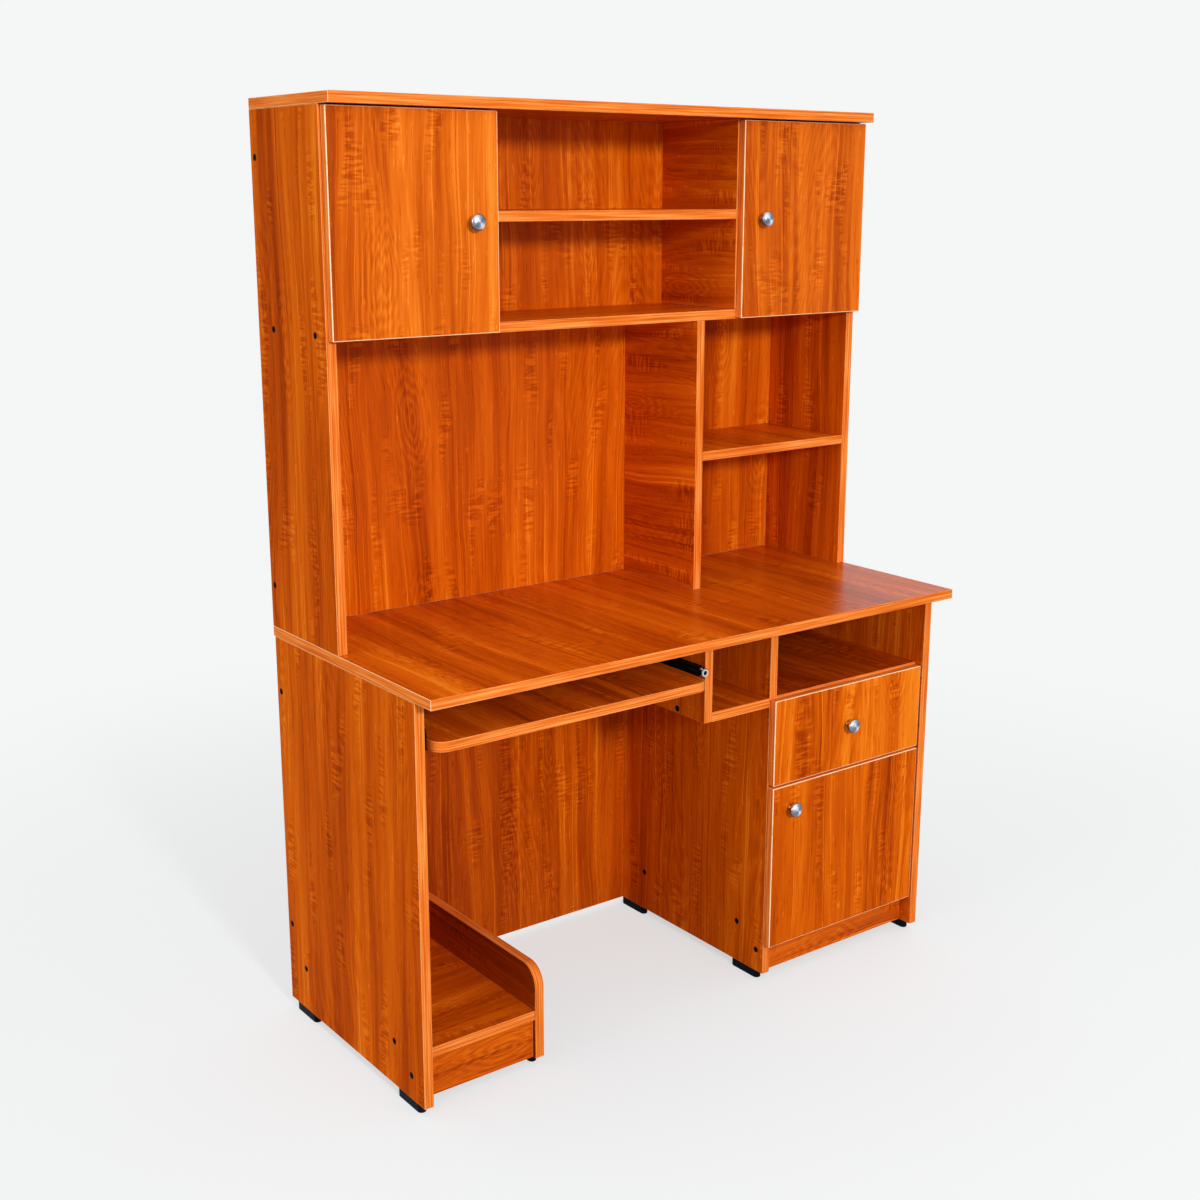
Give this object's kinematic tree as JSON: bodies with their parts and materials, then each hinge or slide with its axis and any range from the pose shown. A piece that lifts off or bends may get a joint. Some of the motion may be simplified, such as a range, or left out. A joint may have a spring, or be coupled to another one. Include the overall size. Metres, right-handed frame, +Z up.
{
  "type": "study desk",
  "caption": "Orange woodgrain study desk with a hutch, door cupboards, keyboard tray, computer stand, drawer and door cabinet with round silver knobs.",
  "frame": {"origin": "on the floor under the middle of the desktop's outline", "axes": "+X to the right seen from the front, +Y to the back, +Z up"},
  "size_m": [1.2, 0.548, 1.665],
  "materials": {
    "laminate": "semi-gloss orange cherry woodgrain laminate",
    "door_laminate": "semi-gloss bright orange cherry woodgrain laminate",
    "drawer_board": "satin woodgrain-faced thin board",
    "foot_plastic": "black moulded plastic",
    "runner_steel": "black coated pressed steel with white nylon rollers",
    "hinge_steel": "nickel-plated pressed steel",
    "knob_metal": "satin silver turned metal"
  },
  "bodies": {
    "desk_case": {"desktop": "laminate", "left_side_panel": "laminate", "right_side_panel": "laminate", "modesty_panel": "laminate", "cabinet_back_panel": "laminate", "cabinet_left_panel": "laminate", "cabinet_niche_shelf": "laminate", "cabinet_bottom_shelf": "laminate", "cabinet_plinth": "laminate", "niche_upright": "laminate", "niche_shelf": "laminate", "cpu_shelf": "laminate", "cpu_plinth": "laminate", "cpu_guard_panel": "laminate", "hutch_left_panel": "laminate", "hutch_right_panel": "laminate", "hutch_top_board": "laminate", "hutch_back_panel": "laminate", "hutch_bottom_shelf": "laminate", "hutch_left_divider": "laminate", "hutch_right_divider": "laminate", "hutch_centre_shelf": "laminate", "hutch_lower_divider": "laminate", "hutch_side_shelf": "laminate", "left_front_foot": "foot_plastic", "left_back_foot": "foot_plastic", "guard_front_foot": "foot_plastic", "guard_back_foot": "foot_plastic", "cabinet_front_foot": "foot_plastic", "cabinet_back_foot": "foot_plastic", "right_front_foot": "foot_plastic", "right_back_foot": "foot_plastic", "hutch_left_door_lower_hinge_arm": "hinge_steel", "hutch_left_door_upper_hinge_arm": "hinge_steel", "hutch_right_door_lower_hinge_arm": "hinge_steel", "hutch_right_door_upper_hinge_arm": "hinge_steel", "cabinet_door_lower_hinge_arm": "hinge_steel", "cabinet_door_upper_hinge_arm": "hinge_steel", "tray_rail_left": "runner_steel", "tray_rail_right": "runner_steel", "drawer_rail_left": "runner_steel", "drawer_rail_right": "runner_steel"},
    "keyboard_tray": {"tray_board": "laminate", "tray_runner_left": "runner_steel", "tray_runner_right": "runner_steel"},
    "drawer": {"drawer_front": "door_laminate", "drawer_left_side": "drawer_board", "drawer_right_side": "drawer_board", "drawer_back": "drawer_board", "drawer_bottom": "drawer_board", "drawer_knob": "knob_metal", "drawer_runner_left": "runner_steel", "drawer_runner_right": "runner_steel"},
    "hutch_left_door": {"hutch_left_door_panel": "door_laminate", "hutch_left_door_knob": "knob_metal"},
    "hutch_right_door": {"hutch_right_door_panel": "door_laminate", "hutch_right_door_knob": "knob_metal"},
    "cabinet_door": {"cabinet_door_panel": "door_laminate", "cabinet_door_knob": "knob_metal"}
  },
  "joints": [
    {"name": "tray_slide", "type": "slide", "parent": "desk_case", "child": "keyboard_tray", "axis": [0, -1, 0], "range_m": [0, 0.26]},
    {"name": "drawer_slide", "type": "slide", "parent": "desk_case", "child": "drawer", "axis": [0, -1, 0], "range_m": [0, 0.28]},
    {"name": "cabinet_door_hinge", "type": "hinge", "parent": "desk_case", "child": "cabinet_door", "pos_m": [0.5795, -0.2206, 0.2435], "axis": [0, 0, 1], "range_deg": [0, 105]},
    {"name": "hutch_left_door_hinge", "type": "hinge", "parent": "desk_case", "child": "hutch_left_door", "pos_m": [-0.5965, 0.0094, 1.461], "axis": [0, 0, -1], "range_deg": [0, 105]},
    {"name": "hutch_right_door_hinge", "type": "hinge", "parent": "desk_case", "child": "hutch_right_door", "pos_m": [0.5995, 0.0094, 1.461], "axis": [0, 0, 1], "range_deg": [0, 105]}
  ]
}
